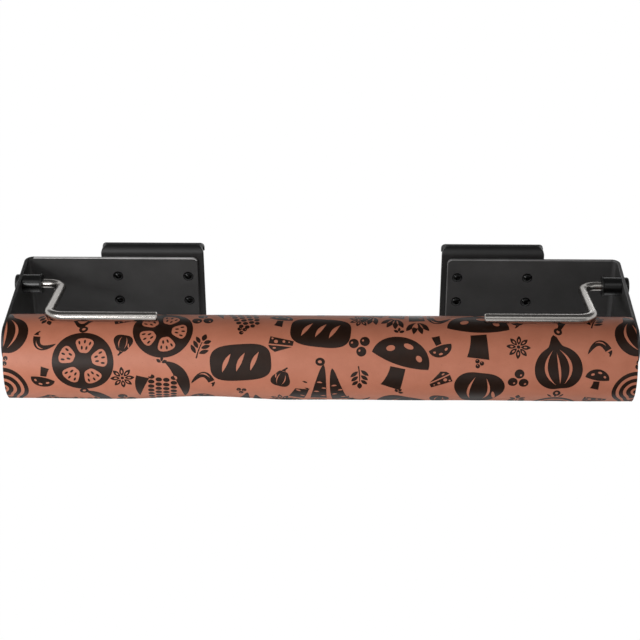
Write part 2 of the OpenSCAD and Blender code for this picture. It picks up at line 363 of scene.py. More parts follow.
def makeCard():
    material, tree, shader = newMaterial("coreCard")
    place = objectPlace(tree, centre=rollAxis)
    x, y, z = addNode(tree, "ShaderNodeSeparateXYZ", {0: place}).outputs
    turn = mathNode(tree, "ARCTAN2", z, y)
    along = mathNode(tree, "MULTIPLY", x, 1 / coreCard["seamPitch"])
    lap = mathNode(tree, "FRACT", mathNode(tree, "MULTIPLY_ADD", turn, 1 / (2 * pi), along))
    seam = mathNode(tree, "LESS_THAN", lap, coreCard["seamShare"])
    shade = mathNode(tree, "MULTIPLY", seam, coreCard["seamShade"])
    grain = noise(tree, place, coreCard["grainScale"], 5, 0.65)
    colour = blendColour(tree, shade, twoTone(tree, grain, coreCard), (*coreCard["dark"], 1))
    setFinish(tree, shader, colour, coreCard["rough"])
    bump(tree, shader, grain, coreCard["grainDepth"], coreCard["grainStrength"])
    return material


paperPeach = makePaper()
paperEdges = makeLayerEdges()
inkBlack = makeInk()
cardBrown = makeCard()
finishOf = {
    "bracket": coat["powderPlate"], "hook": coat["powderHook"], "boss": coat["powderBoss"],
    "hook_screws": coat["screwBlack"], "peg_screw": coat["screwBlack"], "bearing": coat["mouldedBlack"],
    "cap": coat["mouldedBlack"], "peg": coat["mouldedBlack"], "rod": rodSteel,
    "paper_roll": paperPeach, "roll_core": cardBrown,
}
for name, node in nodes.items():
    side, _, part = name.partition("_")
    node.data.materials.clear()
    node.data.materials.append(finishOf[part if side in sideSign else name])
print("paper finishes ready")


# Sheet steel: each blank is cut flat with broken edges and holes, then folded

sheetSteel = {
    "roundSteps": 4, "support": 0.5 * mm, "foldSteps": 14, "cornerSteps": 10, "tipSteps": 36, "holeSides": 28,
    "bracket": {"thick": 2.5 * mm, "broken": 0.6 * mm, "foldInside": 4 * mm, "corner": 4 * mm,
                "tip": 14.25 * mm},
    "hook": {"thick": 3 * mm, "broken": 0.6 * mm, "foldOutside": 6 * mm, "corner": 5.5 * mm, "lip": 8 * mm},
    "screwHead": 4 * mm, "screwHole": 2 * mm, "spigotHole": 5.25 * mm, "pegHole": 2.5 * mm,
}


def arc(cx, cy, radius, start, end, steps):
    angles = [start + (end - start) * i / steps for i in range(steps + 1)]
    return [(cx + radius * cos(a), cy + radius * sin(a)) for a in angles]


def inset(outline, distance):
    moved = []
    for i, point in enumerate(outline):
        here, before, after = (Vector(p) for p in (point, outline[i - 1], outline[(i + 1) % len(outline)]))
        first, second = (here - before).normalized(), (after - here).normalized()
        inward = Vector((-first.y - second.y, first.x + second.x)) / (1 + first.dot(second))
        moved.append(here + inward * distance)
    return moved


def ringEdges(bm, ring):
    pairs = list(zip(ring, ring[1:] + ring[:1]))
    return [bm.edges.get(pair) or bm.edges.new(pair) for pair in pairs]


def joinRings(bm, upper, lower, finish):
    for i in range(len(upper)):
        j = (i + 1) % len(upper)
        bm.faces.new((upper[i], upper[j], lower[j], lower[i])).material_index = finish


def cutBlank(outline, holes, size, folds):
    bm = bmesh.new()
    half, broken, steps = size["thick"] / 2, size["broken"], sheetSteel["roundSteps"]
    turns = [pi / 2 * (1 - i / steps) for i in range(steps + 1)]
    section = [(broken + sheetSteel["support"], half)]
    section += [(broken * (1 - cos(a)), half - broken + broken * sin(a)) for a in turns]
    section += [(d, -v) for d, v in reversed(section)]
    rings = [[bm.verts.new((*p, v)) for p in inset(outline, d)] for d, v in section]
    # the rounded rim takes the second finish; on the brackets that finish is painted light
    for number, (upper, lower) in enumerate(zip(rings, rings[1:])):
        joinRings(bm, upper, lower, 1 if 0 < number < len(section) - 2 else 0)
    bores = []
    for u, w, radius in holes:
        loop = arc(u, w, radius, 0, 2 * pi, sheetSteel["holeSides"])[:-1]
        bores.append([[bm.verts.new((*p, v)) for p in loop] for v in (half, -half)])
        joinRings(bm, *bores[-1], 0)
    for ring, level in ((rings[0], 0), (rings[-1], 1)):
        edges = ringEdges(bm, ring)
        for bore in bores:
            rim = ringEdges(bm, bore[level])
            for edge in rim:
                edge.smooth = False
            edges += rim
        bmesh.ops.triangle_fill(bm, edges=edges, use_beauty=True)
    for start, end in folds:
        for i in range(sheetSteel["foldSteps"] + 1):
            cutAt(bm, (start + (end - start) * i / sheetSteel["foldSteps"], 0, 0), (1, 0, 0))
    return bm


def screwPlaces():
    low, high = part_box("right_hook_screws")
    head = sheetSteel["screwHead"]
    return [(x, z) for x in (low.x + head, high.x - head) for z in (low.z + head, high.z - head)]


def bracketBlank():
    size = sheetSteel["bracket"]
    low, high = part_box("right_bracket")
    peg = sum(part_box("right_peg"), Vector()) / 2
    pivot = Vector(joints["right_arm_lift"]["pos_m"])
    half, corner, tip = size["thick"] / 2, size["corner"], size["tip"]
    bend = size["foldInside"] + half  # at the middle of the sheet
    centre = Vector((high.x - half - bend, high.y - half - bend))
    foldStart = centre.x - low.x
    foldEnd = foldStart + bend * pi / 2
    pegAt = foldEnd + centre.y - peg.y
    toRoot = Vector((pegAt - foldEnd, low.z - peg.z))
    touch = -pi - atan2(toRoot.y, toRoot.x) + acos(tip / toRoot.length)
    steps = sheetSteel["cornerSteps"]
    outline = arc(corner, low.z + corner, corner, pi, 1.5 * pi, steps) + [(foldEnd, low.z)]
    outline += arc(pegAt, peg.z, tip, touch, pi / 2, sheetSteel["tipSteps"])
    outline += arc(corner, high.z - corner, corner, pi / 2, pi, steps)
    holes = [(x - low.x, z, sheetSteel["screwHole"]) for x, z in screwPlaces()]
    holes.append((foldEnd + centre.y - pivot.y, pivot.z, sheetSteel["spigotHole"]))
    holes.append((pegAt, peg.z, sheetSteel["pegHole"]))

    def folded(u, z, v):
        if u <= foldStart:
            return low.x + u, high.y - half - v, z
        if u >= foldEnd:
            return high.x - half - v, centre.y - (u - foldEnd), z
        turn = (u - foldStart) / bend
        return centre.x + (bend - v) * sin(turn), centre.y + (bend - v) * cos(turn), z

    bm = cutBlank(outline, holes, size, [(foldStart, foldEnd)])
    for face in bm.faces:
        middle = face.calc_center_median()
        if face.material_index == 1 and middle.x < foldStart and middle.y > high.z - corner / 2:
            face.material_index = 2  # the plate's top edge, which takes the painted highlight
    return bm, folded


def hookBlank():
    size = sheetSteel["hook"]
    low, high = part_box("right_hook")
    half, corner, outside = size["thick"] / 2, size["corner"], size["foldOutside"]
    bend = outside - half
    bendZ, frontY, rearY = high.z - outside, low.y + outside, high.y - outside
    ends = [bendZ - low.z]  # wall, front fold, top, rear fold, lip
    for length in (bend * pi / 2, rearY - frontY, bend * pi / 2, size["lip"] - outside):
        ends.append(ends[-1] + length)
    steps = sheetSteel["cornerSteps"]
    outline = arc(corner, low.x + corner, corner, pi, 1.5 * pi, steps) + [(ends[4], low.x), (ends[4], high.x)]
    outline += arc(corner, high.x - corner, corner, pi / 2, pi, steps)
    holes = [(z - low.z, x, sheetSteel["screwHole"]) for x, z in screwPlaces()]

    def folded(u, x, v):
        if u <= ends[0]:
            y, z = low.y + half - v, low.z + u
        elif u <= ends[1]:
            turn = (u - ends[0]) / bend
            y, z = frontY - (bend + v) * cos(turn), bendZ + (bend + v) * sin(turn)
        elif u <= ends[2]:
            y, z = frontY + u - ends[1], high.z - half + v
        elif u <= ends[3]:
            turn = (u - ends[2]) / bend
            y, z = rearY + (bend + v) * sin(turn), bendZ + (bend + v) * cos(turn)
        else:
            y, z = high.y - half + v, bendZ - (u - ends[3])
        rise = min(corner, max(0.0, z - high.z + corner))
        cut = corner - (corner ** 2 - rise ** 2) ** 0.5  # the top corners are round in front view
        return x + (cut if x < (low.x + high.x) / 2 else -cut), y, z

    return cutBlank(outline, holes, size, [(ends[0], ends[1]), (ends[2], ends[3])]), folded


def foldSheet(side, part, blank, *finishes):
    bm, folded = blank()
    for vert in bm.verts:
        x, y, z = folded(*vert.co)
        vert.co = (sideSign[side] * x, y, z)
    bmesh.ops.recalc_face_normals(bm, faces=bm.faces)
    sidePiece(side, part, "powder_black", bm, *finishes)


# Pivot: the boss and its sleeve bearing, with broken edges

turnedEdges = {
    "weld": 0.002 * mm, "flatAngle": radians(0.6), "sharpAngle": radians(32), "segments": 3,
    "boss": 0.5 * mm, "bearing": 0.35 * mm,
}


def softEdged(side, part, slot):
    bm = bmesh.new()
    bm.from_mesh(nodes[side + "_" + part].data)
    bmesh.ops.remove_doubles(bm, verts=bm.verts, dist=turnedEdges["weld"])
    bmesh.ops.dissolve_limit(bm, angle_limit=turnedEdges["flatAngle"], verts=bm.verts, edges=bm.edges)
    bm.normal_update()
    sharp = [e for e in bm.edges if e.is_manifold and e.calc_face_angle() > turnedEdges["sharpAngle"]]
    bmesh.ops.bevel(bm, geom=sharp, offset=turnedEdges[part], offset_type="OFFSET", profile=0.5,
                    segments=turnedEdges["segments"], affect="EDGES", clamp_overlap=True)
    bmesh.ops.triangulate(bm, faces=[f for f in bm.faces if len(f.verts) > 4])
    markSharp(bm, turnedEdges["sharpAngle"])
    sidePiece(side, part, slot, bm, finishOf[part])


for side in sideSign:
    # each bracket gets its own side's painted light on its cut edges and a painted highlight on its plate's
    # top edge
    foldSheet(side, "bracket", bracketBlank, coat["powderPlate"], coat[side + "Edge"], coat[side + "Top"])
    foldSheet(side, "hook", hookBlank, coat["powderHook"], coat["powderHook"])
    softEdged(side, "boss", "powder_black")
    softEdged(side, "bearing", "moulded_black")
print("sheet steel ready")


# Hold-down rods: one drawn wire each, swept along its bent line

rodWire = {
    "radius": 3.5 * mm, "bend": 12 * mm, "legInset": 31 * mm, "chamfer": 0.8 * mm,
    "sides": 40, "bendSteps": 16, "sharpAngle": radians(30),
}


def makeRodTree():
    tree, inside, outside = newTree("rodSweep", {
        "Bend": "Float", "Bend Steps": "Int", "Radius": "Float", "Sides": "Int", "Finish": "Material"})
    pin = inside.outputs

    def kept(label, curve):
        share = addNode(tree, "GeometryNodeSplineParameter").outputs["Factor"]
        values = {"Geometry": curve, "Name": label, "Value": share}
        return addNode(tree, "GeometryNodeStoreNamedAttribute", values,
                       data_type="FLOAT", domain="POINT").outputs[0]

    line = addNode(tree, "GeometryNodeMeshToCurve", {0: pin["Geometry"]}).outputs[0]
    bent = addNode(tree, "GeometryNodeFilletCurve", {
        "Curve": line, "Radius": pin["Bend"], "Count": pin["Bend Steps"]}, mode="POLY").outputs[0]
    scale = addNode(tree, "GeometryNodeInputNamedAttribute", {"Name": "rodScale"},
                    data_type="FLOAT").outputs[0]
    path = addNode(tree, "GeometryNodeSetCurveRadius", {"Curve": bent, "Radius": scale}).outputs[0]
    ring = addNode(tree, "GeometryNodeCurvePrimitiveCircle", {
        "Radius": pin["Radius"], "Resolution": pin["Sides"]}).outputs[0]
    sweep = addNode(tree, "GeometryNodeCurveToMesh", {
        "Curve": kept("alongRod", path), "Profile Curve": kept("roundRod", ring), "Fill Caps": True})
    if "Scale" in sweep.inputs:  # the sweep takes the radius as its scale
        tree.links.new(addNode(tree, "GeometryNodeInputRadius").outputs[0], sweep.inputs["Scale"])
    endTree(tree, sweep.outputs[0], pin["Finish"], outside)
    return tree


rodTree = makeRodTree()


def makeRod(side):
    low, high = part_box(side + "_rod")
    pivot = Vector(joints[side + "_arm_lift"]["pos_m"])
    sign = sideSign[side]
    radius = rodWire["radius"]
    legX = pivot.x - sign * rodWire["legInset"]
    outerX, innerX = (low.x, high.x) if sign < 0 else (high.x, low.x)
    runY, runZ = low.y + radius, high.z - radius
    corners = [
        (outerX, pivot.y, pivot.z), (legX, pivot.y, pivot.z), (legX, runY, runZ),
        (innerX + sign * rodWire["chamfer"], runY, runZ), (innerX, runY, runZ)]
    path = bpy.data.meshes.new(side + "RodPath")
    path.from_pydata(corners, [(i, i + 1) for i in range(len(corners) - 1)], [])
    scale = path.attributes.new("rodScale", "FLOAT", "POINT")
    scale.data.foreach_set("value", [1, 1, 1, 1, 1 - rodWire["chamfer"] / radius])
    mesh = bakeTree(side + "Rod", path, rodTree, {
        "Bend": rodWire["bend"], "Bend Steps": rodWire["bendSteps"], "Radius": radius,
        "Sides": rodWire["sides"], "Finish": rodSteel})
    bm = bmesh.new()
    bm.from_mesh(mesh)
    bmesh.ops.recalc_face_normals(bm, faces=bm.faces)
    smoothFaces(bm)
    markSharp(bm, rodWire["sharpAngle"])
    bm.to_mesh(mesh)
    bm.free()
    linkPiece(side + "Rod", mesh, side + "_arm", "bright_steel", side + "_rod")


for side in sideSign:
    makeRod(side)
print("rods ready")


# Paper: the wound roll and the loose outer turn over it

roll = {
    "cutAngle": radians(-47), "clear": 0.06 * mm, "layer": 0.18 * mm, "thickness": 0.16 * mm,
    "flatCentre": radians(-62), "flatHalf": radians(62), "flatDepth": 2.9 * mm,
    "stepsAround": 180, "rings": 18, "ringSlip": 0.45 * mm, "seed": 5,
    "ringGap": 0.06, "boreShare": 0.002, "endTilt": 0.2, "sharpAngle": radians(30),
}
outerTurn = {
    "turns": radians(374), "leave": radians(215), "meet": radians(300), "stepsRound": 190, "stepsAcross": 130,
    "curlReach": 27 * mm, "dentX": -82 * mm, "dentHalf": 63 * mm, "dentDepth": 2.3 * mm,
    "ripple": 0.10 * mm, "edgeRipple": 0.22 * mm, "tuck": 0.1 * mm,
    # waves of the sheet (across, around, start) and of its cut edge (across, start)
    "waves": ((61, 3.1, 0.0), (23, -1.7, 1.1)), "edgeWaves": ((38, 0.6), (17, 2.0)),
}
sheetOuter = rollRadius - roll["clear"]


def woundRadius(angle):
    offset = (angle - roll["flatCentre"] + pi) % (2 * pi) - pi
    dip = smoothStep(1 - abs(offset) / roll["flatHalf"])
    return sheetOuter - roll["layer"] - roll["flatDepth"] * dip


def sheetRadius(x, turn):
    near = woundRadius(roll["cutAngle"] + turn) + outerTurn["tuck"]
    share = smoothStep((turn - outerTurn["leave"]) / (outerTurn["meet"] - outerTurn["leave"]))
    first, second = (sin(x * across + turn * around + start) for across, around, start in outerTurn["waves"])
    radius = sheetOuter - outerTurn["ripple"] * (1 + first * second) / 2
    curl = max(0.0, 1 - turn * rollRadius / outerTurn["curlReach"]) ** 2
    dent = outerTurn["dentDepth"] * humpAt(x - outerTurn["dentX"], outerTurn["dentHalf"])
    first, second = (sin(x * across + start) for across, start in outerTurn["edgeWaves"])
    radius -= curl * (dent + outerTurn["edgeRipple"] * (1 + first * second))
    return radius + (near - radius) * share


def onRoll(x, angle, radius):
    return Vector((x, rollAxis.y - radius * cos(angle), rollAxis.z + radius * sin(angle)))


def makeWoundRoll():
    rng = random.Random(roll["seed"])
    bm = bmesh.new()
    count, gap = roll["stepsAround"], roll["ringGap"]
    angles = [2 * pi * i / count for i in range(count)]
    rows = []
    for sign in (-1, 1):
        slips = [rng.random() * roll["ringSlip"] for _ in range(roll["rings"])]
        shares = []
        for ring, slip in enumerate(slips):
            shares += [((ring + at) / roll["rings"], slip) for at in (gap, 1 - gap)]
        shares[0] = (roll["boreShare"], slips[0])
        shares[-1] = (1.0, slips[-1])
        loops = []
        for share, slip in shares if sign > 0 else shares[::-1]:
            x = sign * (halfWidth - slip)
            loops.append([bm.verts.new(onRoll(x, a, coreRadius + (woundRadius(a) - coreRadius) * share))
                          for a in angles])
        rows += loops if sign < 0 else loops[::-1]
    for first, second in zip(rows, rows[1:] + rows[:1]):
        for i in range(count):
            j = (i + 1) % count
            bm.faces.new((first[i], first[j], second[j], second[i]))
    bmesh.ops.recalc_face_normals(bm, faces=bm.faces)
    for face in bm.faces:
        face.material_index = 1 if abs(face.normal.x) > roll["endTilt"] else 0
    smoothFaces(bm)
    markSharp(bm, roll["sharpAngle"])
    mesh = meshFrom("paperRoll", bm, paperPeach, paperEdges)
    linkPiece("paperRoll", mesh, "roll", "paper", "paper_roll")


def makeOuterTurn():
    bm = bmesh.new()
    across, along = outerTurn["stepsAcross"], outerTurn["stepsRound"]
    walls = []
    for depth in (0.0, roll["thickness"]):
        grid = []
        for i in range(across + 1):
            x = halfWidth * (2 * i / across - 1)
            grid.append([])
            for k in range(along + 1):
                turn = outerTurn["turns"] * k / along
                grid[i].append(bm.verts.new(onRoll(x, roll["cutAngle"] + turn, sheetRadius(x, turn) - depth)))
        walls.append(grid)
    top, under = walls
    for i in range(across):
        for k in range(along):
            bm.faces.new((top[i][k], top[i + 1][k], top[i + 1][k + 1], top[i][k + 1]))
            bm.faces.new((under[i][k], under[i][k + 1], under[i + 1][k + 1], under[i + 1][k]))
    rim = [(i, 0) for i in range(across)] + [(across, k) for k in range(along)]
    rim += [(i, along) for i in range(across, 0, -1)] + [(0, k) for k in range(along, 0, -1)]
    edges = []
    for (i, k), (m, n) in zip(rim, rim[1:] + rim[:1]):
        edges.append(bm.faces.new((top[i][k], under[i][k], under[m][n], top[m][n])))
    bmesh.ops.recalc_face_normals(bm, faces=bm.faces)
    smoothFaces(bm)
    for face in edges:
        face.material_index = 1
        for edge in face.edges:
            edge.smooth = False
    mesh = meshFrom("paperOuterTurn", bm, paperPeach, paperEdges)
    linkPiece("paperOuterTurn", mesh, "roll", "paper")


makeWoundRoll()
makeOuterTurn()
print("paper ready")


# Print on the paper: kitchen-garden motifs, drawn as loops in a unit square

brush = {"slopeStep": 0.01, "leastGap": 1e-4}


def ellipse(cx, cy, rx, ry, turn=0.0, count=28):
    loop = []
    for i in range(count):
        a = 2 * pi * i / count
        u, v = rx * cos(a), ry * sin(a)
        loop.append((cx + u * cos(turn) - v * sin(turn), cy + u * sin(turn) + v * cos(turn)))
    return loop


def polar(reach, y=0.0, count=72):
    angles = [2 * pi * i / count for i in range(count)]
    return [(reach(a) * cos(a), y + reach(a) * sin(a)) for a in angles]


def swelling(angle, at, half):
    return exp(-(((angle - at) / half) ** 2))


def stroke(start, pull, end, half, count=18):
    near, far, step = [], [], brush["slopeStep"]
    half = half if callable(half) else spindle(half)

    def path(t):
        return [s * (1 - t) ** 2 + 2 * p * t * (1 - t) + e * t * t for s, p, e in zip(start, pull, end)]

    for i in range(count + 1):
        t = i / count
        (x, y), (ax, ay), (bx, by) = path(t), path(t - step), path(t + step)
        size = hypot(bx - ax, by - ay)
        u, v = (by - ay) / size * half(t), (ax - bx) / size * half(t)
        near.append((x + u, y + v))
        far.append((x - u, y - v))
    loop = near + far[::-1]
    return [(x, y) for i, (x, y) in enumerate(loop)
            if hypot(x - loop[i - 1][0], y - loop[i - 1][1]) > brush["leastGap"]]


def spindle(half, power=1):
    return lambda t: half * sin(pi * t) ** power if 0 < t < 1 else 0.0


def taper(half, low, rise):
    return lambda t: half * (1 - t) ** 0.6 * (low + rise * t)


def leaf(x, y, angle, length, half, count=12):
    tip = (x + length * cos(angle), y + length * sin(angle))
    middle = ((x + tip[0]) / 2, (y + tip[1]) / 2)
    return stroke((x, y), middle, tip, spindle(half, 0.8), count)


def cell(angle, half, inner, outer, count=28):
    loop = []
    for i in range(count):
        u, v = cos(2 * pi * i / count), sin(2 * pi * i / count)
        a = angle + half * copysign(abs(u) ** 0.6, u)
        reach = (inner + outer) / 2 + (outer - inner) / 2 * copysign(abs(v) ** 0.6, v)
        loop.append((reach * cos(a), reach * sin(a)))
    return loop


def turned(loops, angle, x=0.0, y=0.0, size=1.0):
    c, s = size * cos(angle), size * sin(angle)
    return [[(x + u * c - v * s, y + u * s + v * c) for u, v in loop] for loop in loops]


def tomato():
    loops = [ellipse(0, 0, 0.5, 0.5, count=56)]
    for i in range(5):
        a = 2 * pi / 5 * i + 0.3
        loops.append(cell(a, 0.46, 0.15, 0.40))
        for lean, reach in ((-0.27, 0.325), (0.0, 0.34), (0.27, 0.325), (-0.16, 0.235), (0.16, 0.235)):
            loops.append(ellipse(reach * cos(a + lean), reach * sin(a + lean), 0.034, 0.017, a + lean, 12))
    return loops


def chili():
    body = stroke((-0.38, 0.22), (-0.16, -0.56), (0.52, 0.20), taper(0.20, 0.75, 0.4), 26)
    shine = stroke((-0.34, 0.04), (-0.20, -0.28), (0.10, -0.20), 0.03)
    stem = stroke((-0.42, 0.28), (-0.46, 0.40), (-0.36, 0.5), lambda t: 0.085 * (1 - t) ** 2 + 0.03)
    return [body, shine, stem]


def mushroom():
    dome = [(0.5 * cos(a), 0.04 + 0.42 * sin(a)) for a in (pi * i / 30 for i in range(31))]
    brim = [(x, 0.04 - 0.075 * (1 - (x / 0.5) ** 2)) for x in (-0.5 + i / 16 for i in range(1, 16))]
    stem = stroke((0, -0.08), (0.02, -0.26), (0, -0.48), lambda t: 0.13 + 0.05 * t * t)
    spots = [ellipse(-0.22, 0.20, 0.075, 0.05, 0.5), ellipse(0.06, 0.32, 0.085, 0.045, -0.1)]
    return [dome + brim, stem, *spots, ellipse(0.29, 0.17, 0.06, 0.045, -0.6)]


def onion():
    loops = []
    for size in (1.0, 0.83, 0.70, 0.53, 0.40, 0.22, 0.12):
        neck = 0.15 if size > 0.3 else 0.05
        loops.append(polar(lambda a: size * (0.40 + neck * swelling(a, pi / 2, 0.24)), -0.05))
    for x in (-0.14, 0, 0.14):
        loops.append(stroke((x * 0.4, -0.46), (x * 0.7, -0.5), (x, -0.56), 0.02))
    return loops


def oneCarrot():
    body = stroke((0, 0.22), (0.02, -0.15), (0, -0.56), taper(0.165, 0.85, 0.15), 24)
    slits = [stroke((x, y), (x + 0.05, y - 0.012), (x + 0.1, y), 0.016)
             for x, y in ((-0.12, 0.12), (0.01, 0.0), (-0.11, -0.1), (-0.02, -0.22))]
    tops = [leaf(0.03 * lean, 0.27, pi / 2 - 0.55 * lean, 0.30 - 0.03 * abs(lean), 0.05)
            for lean in (-1.2, -0.4, 0.4, 1.2)]
    return [body, *slits, *tops]


def carrots():
    return [loop for s in (-1, 0, 1)
            for loop in turned(oneCarrot(), -0.30 * s, 0.29 * s, 0.02 * abs(s), 0.92)]


def bellPepper():
    body = polar(lambda a: 0.40 + 0.045 * cos(3 * a + pi / 2) - 0.07 * swelling(a, pi / 2, 0.3), -0.06)
    folds = [stroke((0.10 * s, 0.20), (0.24 * s, -0.05), (0.09 * s, -0.33), 0.022)
             for s in (-1, 1)]
    shine = ellipse(-0.26, 0.04, 0.028, 0.10, 0.25)
    stem = stroke((0, 0.33), (0.0, 0.42), (0.10, 0.52), lambda t: 0.035 + 0.07 * (1 - t) ** 3)
    return [body, *folds, shine, stem]


def garlic():
    bulb = polar(lambda a: (0.385 + 0.20 * swelling(a, pi / 2, 0.17)
                            - 0.03 * swelling(a, 1.5 * pi, 0.3)), -0.08)
    clefts = [stroke((0.05 * s, 0.24), (0.34 * s, -0.05), (0.06 * s, -0.36), 0.024)
              for s in (-1, 1)]
    return [bulb, *clefts, stroke((0, 0.2), (0.03, -0.1), (0, -0.34), 0.02)]


def sprig():
    loops = [stroke((0.04, -0.56), (-0.02, -0.2), (0, 0.16), lambda t: 0.03 - 0.012 * t)]
    for i in range(3):
        y = -0.38 + 0.23 * i
        for s in (-1, 1):
            loops.append(leaf(0.06 * s, y + 0.05 * (s > 0), pi / 2 - s * 0.9, 0.42 - 0.04 * i, 0.085))
    return loops + [leaf(0, 0.21, pi / 2, 0.34, 0.105)]


def starSpice():
    loops = [ellipse(0, 0, 0.075, 0.075, count=16)]
    for i in range(8):
        a = pi / 4 * i + 0.2
        loops.append(leaf(0.10 * cos(a), 0.10 * sin(a), a, 0.42, 0.098, 14))
        loops.append(ellipse(0.29 * cos(a), 0.29 * sin(a), 0.075, 0.033, a, 14))
    return loops


def corn():
    loops = []
    for row in range(9):
        y = -0.30 + 0.094 * row
        width = 0.215 * (1 - (max(0, row - 3) / 7.5) ** 2) ** 0.5
        for col in (-1.5, -0.5, 0.5, 1.5):
            loops.append(ellipse(col * width * 0.56, y + 0.045 * (abs(col) < 1), width * 0.245, 0.040, 0, 14))
    for s in (-1, 1):
        loops.append(stroke((0.03 * s, -0.56), (0.42 * s, -0.42), (0.36 * s, 0.16),
                            lambda t: 0.105 * sin(pi * min(1, t * 0.97 + 0.03)) ** 0.9))
    return loops


def loaf():
    crust = polar(lambda a: 1 / ((abs(cos(a)) / 0.50) ** 3.2 + (abs(sin(a)) / 0.31) ** 3.2) ** (1 / 3.2))
    slashes = [stroke((x - 0.06, -0.14), (x - 0.01, 0.02), (x + 0.10, 0.16), 0.035)
               for x in (-0.25, -0.02, 0.21)]
    return [crust, *slashes]


def cheese():
    wedge = [(-0.5, -0.30), (0.5, -0.30), (0.5, 0.04), (-0.5, -0.09)]
    top = [(-0.48, -0.03), (0.5, 0.10), (0.40, 0.23), (0.16, 0.33)]
    holes = ((0.22, -0.12, 0.085, 0.075), (-0.10, -0.19, 0.06, 0.055), (0.39, -0.22, 0.045, 0.04),
             (0.22, 0.17, 0.07, 0.035, 0.2), (-0.32, -0.21, 0.035, 0.03))
    return [wedge, top, *(ellipse(*hole) for hole in holes)]


def peppercorns():
    loops = []
    for i in range(3):
        a = 2 * pi / 3 * i + 0.4
        loops += [ellipse(0.27 * cos(a), 0.27 * sin(a), 0.21, 0.21, count=18),
                  ellipse(0.27 * cos(a) - 0.06, 0.27 * sin(a) + 0.06, 0.05, 0.04, 0.7, 10)]
    return loops


def leafPair():
    return [leaf(-0.04, -0.1, radians(150), 0.5, 0.15), leaf(0.04, -0.1, radians(30), 0.5, 0.15),
            leaf(0, 0.0, pi / 2, 0.5, 0.13)]


def oliveRing():
    return [ellipse(0, 0, 0.42, 0.36, 0.4), ellipse(0.02, 0.01, 0.17, 0.13, 0.4, 16)]


printDesign = {
    "columnStep": 57.15 * mm, "rowStep": 49.5 * mm, "firstRow": -33.5 * mm,
    "sizeSpread": 0.04, "drift": 0.6 * mm, "seed": 11,
    "lift": 0.05 * mm, "stripRound": 2.4 * mm, "stripAcross": 9 * mm, "endMargin": 2 * mm,
    "columnPick": 5, "rowPick": 3,  # the choice of motif moves on by these
    "large": {
        "motifs": (tomato, bellPepper, loaf, onion, mushroom, corn, garlic, carrots),
        "columns": 9, "rows": 6, "perStep": 1, "shift": 0, "size": 44.5 * mm, "lean": radians(22)},
    "medium": {
        "motifs": (chili, cheese, starSpice, sprig, mushroom, bellPepper, peppercorns),
        "columns": 10, "rows": 12, "perStep": 2, "shift": 0.25, "size": 17 * mm, "lean": radians(24)},
    "small": {
        "motifs": (peppercorns, leafPair, oliveRing),
        "columns": 9, "rows": 6, "perStep": 1, "shift": 0.5, "size": 8 * mm, "lean": pi},
}


def motifCollection(name, drawings):
    group = bpy.data.collections.new(name)
    for number, draw in enumerate(drawings):
        curve = bpy.data.curves.new(draw.__name__, "CURVE")
        curve.dimensions = "2D"
        curve.fill_mode = "BOTH"
        for loop in draw():
            line = curve.splines.new("POLY")
            line.points.add(len(loop) - 1)
            line.points.foreach_set("co", [c for x, y in loop for c in (x, y, 0.0, 1.0)])
            line.use_cyclic_u = True
        mesh = takeMesh(addObject(draw.__name__, curve))
        group.objects.link(bpy.data.objects.new(f"{number:02d}{draw.__name__}", mesh))
    return group


